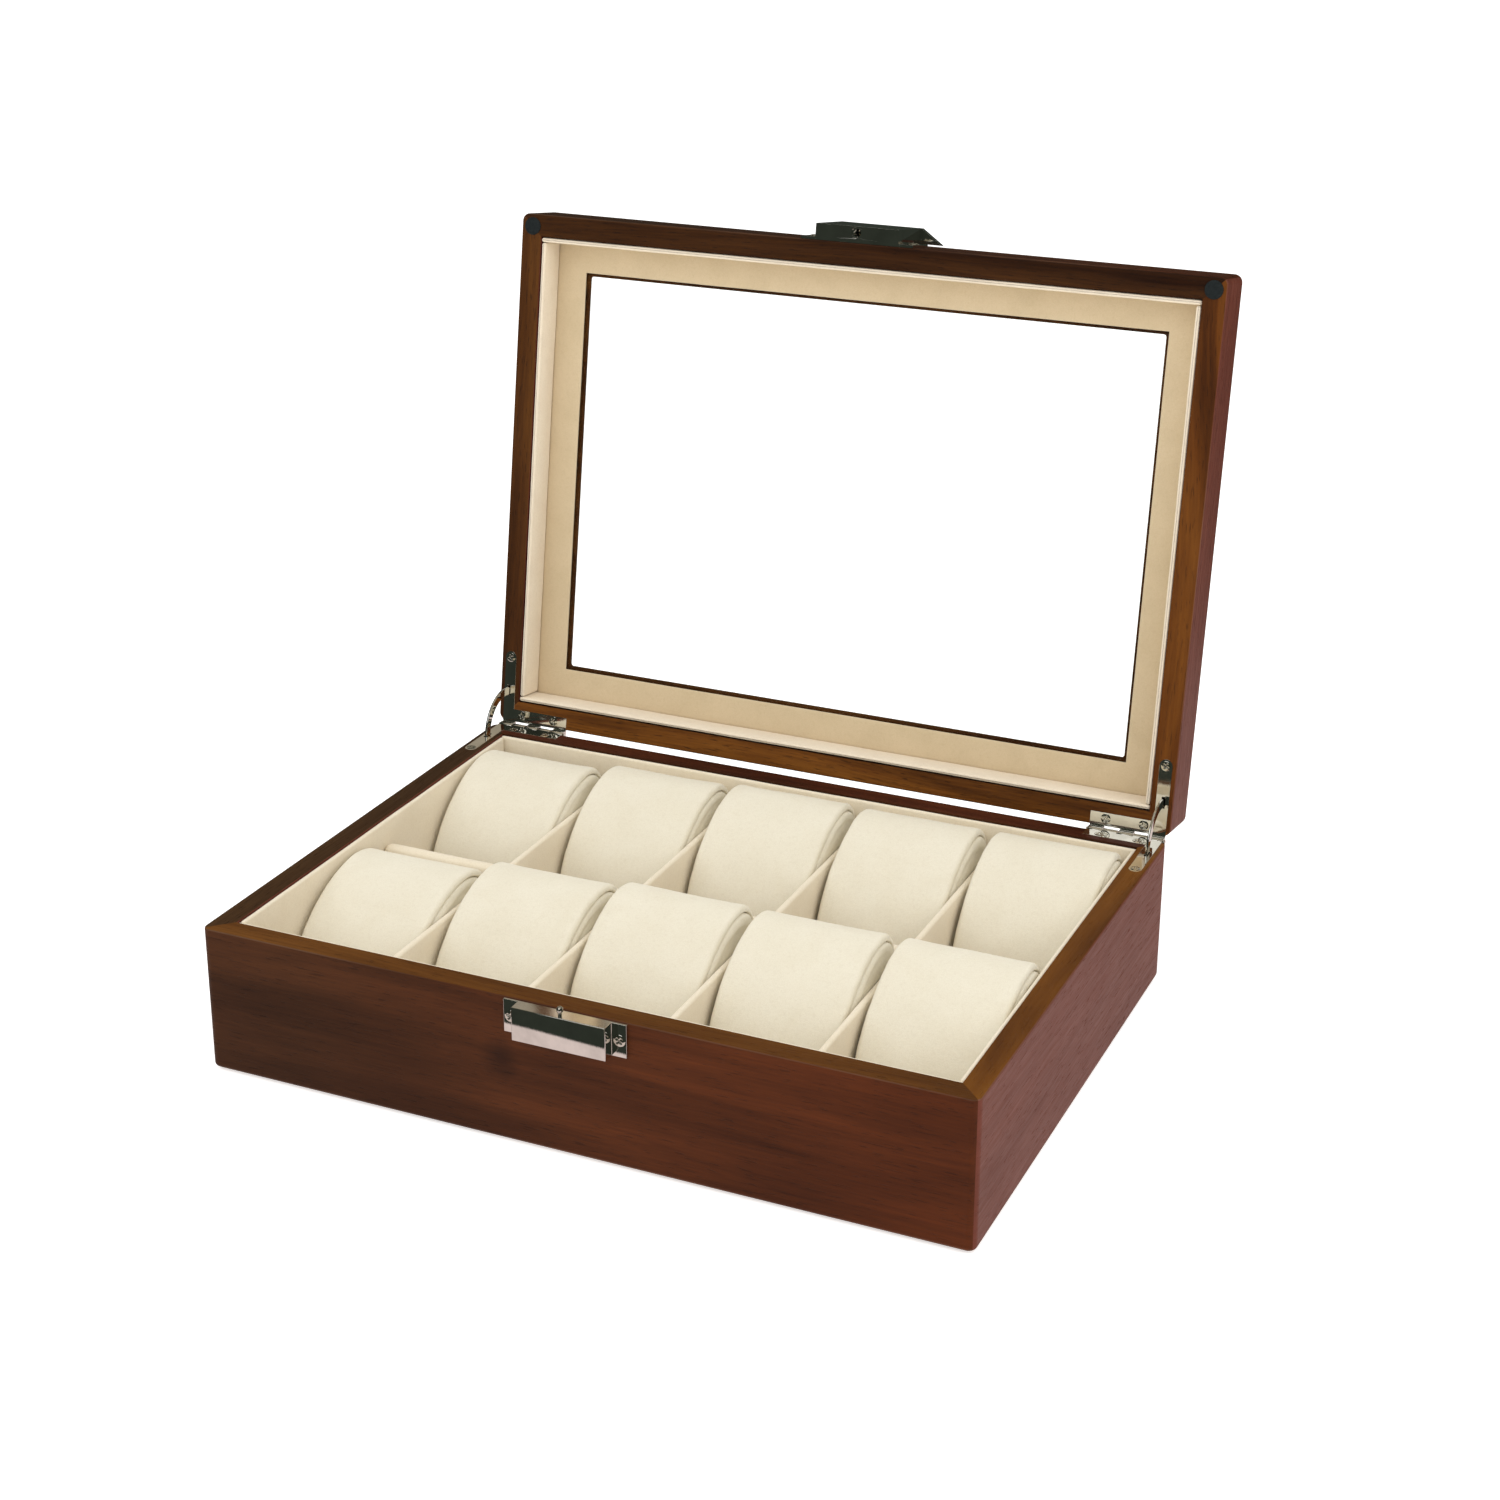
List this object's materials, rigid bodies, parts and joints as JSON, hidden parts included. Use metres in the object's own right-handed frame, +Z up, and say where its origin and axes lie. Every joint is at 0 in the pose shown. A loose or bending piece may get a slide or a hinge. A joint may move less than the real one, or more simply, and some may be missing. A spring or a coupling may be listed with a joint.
{
  "type": "watch box",
  "caption": "Wooden watch box with a hinged framed-glass lid, stay hinges, a snap latch and velvet pillows in divided bays.",
  "frame": {"origin": "middle of the underside of the base felt, on the surface the box stands on", "axes": "+X to the right along the width, +Y from the latch side to the hinge side, +Z up"},
  "size_m": [0.33, 0.3201, 0.3086],
  "materials": {
    "wood": "satin lacquer over dark red-brown stained wood",
    "board": "plain board",
    "lining_velvet": "short-pile beige velvet",
    "pillow_velvet": "short-pile cream velvet",
    "felt": "dark brown felt",
    "glass": "clear polished float glass",
    "nickel": "polished nickel plate",
    "bumper": "matt black rubber"
  },
  "bodies": {
    "base": {"base_back_wall": "wood", "base_bottom_panel": "board", "base_felt": "felt", "base_front_wall": "wood", "base_left_wall": "wood", "base_lining_back": "lining_velvet", "base_lining_floor": "lining_velvet", "base_lining_front": "lining_velvet", "base_lining_left": "lining_velvet", "base_lining_right": "lining_velvet", "base_right_wall": "wood", "base_screws": "nickel", "cross_dividers_front": "lining_velvet", "cross_dividers_rear": "lining_velvet", "hinge_left_base_leaf": "nickel", "hinge_left_pin": "nickel", "hinge_right_base_leaf": "nickel", "hinge_right_pin": "nickel", "latch_ball_stud": "nickel", "latch_lower_body": "nickel", "row_divider": "lining_velvet"},
    "lid": {"hinge_left_lid_leaf": "nickel", "hinge_right_lid_leaf": "nickel", "latch_socket_spring": "nickel", "latch_upper_catch": "nickel", "lid_back_wall": "wood", "lid_bumpers": "bumper", "lid_front_wall": "wood", "lid_glass": "glass", "lid_left_wall": "wood", "lid_lining_back": "lining_velvet", "lid_lining_front": "lining_velvet", "lid_lining_left": "lining_velvet", "lid_lining_mat": "lining_velvet", "lid_lining_right": "lining_velvet", "lid_right_wall": "wood", "lid_screws": "nickel", "lid_top_panel": "wood"},
    "stay_arm_left": {"hinge_left_arm": "nickel"},
    "stay_arm_right": {"hinge_right_arm": "nickel"},
    "pillow_front_1": {"pillow_front_1_wrap": "pillow_velvet", "pillow_front_1_core": "pillow_velvet"},
    "pillow_front_2": {"pillow_front_2_wrap": "pillow_velvet", "pillow_front_2_core": "pillow_velvet"},
    "pillow_front_3": {"pillow_front_3_wrap": "pillow_velvet", "pillow_front_3_core": "pillow_velvet"},
    "pillow_front_4": {"pillow_front_4_wrap": "pillow_velvet", "pillow_front_4_core": "pillow_velvet"},
    "pillow_front_5": {"pillow_front_5_wrap": "pillow_velvet", "pillow_front_5_core": "pillow_velvet"},
    "pillow_rear_1": {"pillow_rear_1_wrap": "pillow_velvet", "pillow_rear_1_core": "pillow_velvet"},
    "pillow_rear_2": {"pillow_rear_2_wrap": "pillow_velvet", "pillow_rear_2_core": "pillow_velvet"},
    "pillow_rear_3": {"pillow_rear_3_wrap": "pillow_velvet", "pillow_rear_3_core": "pillow_velvet"},
    "pillow_rear_4": {"pillow_rear_4_wrap": "pillow_velvet", "pillow_rear_4_core": "pillow_velvet"},
    "pillow_rear_5": {"pillow_rear_5_wrap": "pillow_velvet", "pillow_rear_5_core": "pillow_velvet"}
  },
  "joints": [
    {"name": "lid_hinge", "type": "hinge", "parent": "base", "child": "lid", "pos_m": [0, 0.1222, 0.0626], "axis": [-1, 0, 0], "range_deg": [-99, 0]},
    {"name": "stay_arm_left_swing", "type": "hinge", "parent": "base", "child": "stay_arm_left", "pos_m": [-0.1605, 0.1222, 0.0626], "axis": [-1, 0, 0], "range_deg": [-49.5, 0]},
    {"name": "stay_arm_right_swing", "type": "hinge", "parent": "base", "child": "stay_arm_right", "pos_m": [0.1605, 0.1222, 0.0626], "axis": [-1, 0, 0], "range_deg": [-49.5, 0]},
    {"name": "pillow_front_1_lift", "type": "slide", "parent": "base", "child": "pillow_front_1", "axis": [0, 0, 1], "range_m": [0, 0.09]},
    {"name": "pillow_front_2_lift", "type": "slide", "parent": "base", "child": "pillow_front_2", "axis": [0, 0, 1], "range_m": [0, 0.09]},
    {"name": "pillow_front_3_lift", "type": "slide", "parent": "base", "child": "pillow_front_3", "axis": [0, 0, 1], "range_m": [0, 0.09]},
    {"name": "pillow_front_4_lift", "type": "slide", "parent": "base", "child": "pillow_front_4", "axis": [0, 0, 1], "range_m": [0, 0.09]},
    {"name": "pillow_front_5_lift", "type": "slide", "parent": "base", "child": "pillow_front_5", "axis": [0, 0, 1], "range_m": [0, 0.09]},
    {"name": "pillow_rear_1_lift", "type": "slide", "parent": "base", "child": "pillow_rear_1", "axis": [0, 0, 1], "range_m": [0, 0.09]},
    {"name": "pillow_rear_2_lift", "type": "slide", "parent": "base", "child": "pillow_rear_2", "axis": [0, 0, 1], "range_m": [0, 0.09]},
    {"name": "pillow_rear_3_lift", "type": "slide", "parent": "base", "child": "pillow_rear_3", "axis": [0, 0, 1], "range_m": [0, 0.09]},
    {"name": "pillow_rear_4_lift", "type": "slide", "parent": "base", "child": "pillow_rear_4", "axis": [0, 0, 1], "range_m": [0, 0.09]},
    {"name": "pillow_rear_5_lift", "type": "slide", "parent": "base", "child": "pillow_rear_5", "axis": [0, 0, 1], "range_m": [0, 0.09]}
  ],
  "couplings": [
    {"joint": "stay_arm_left_swing", "follows": "lid_hinge", "ratio": 0.5},
    {"joint": "stay_arm_right_swing", "follows": "lid_hinge", "ratio": 0.5}
  ]
}
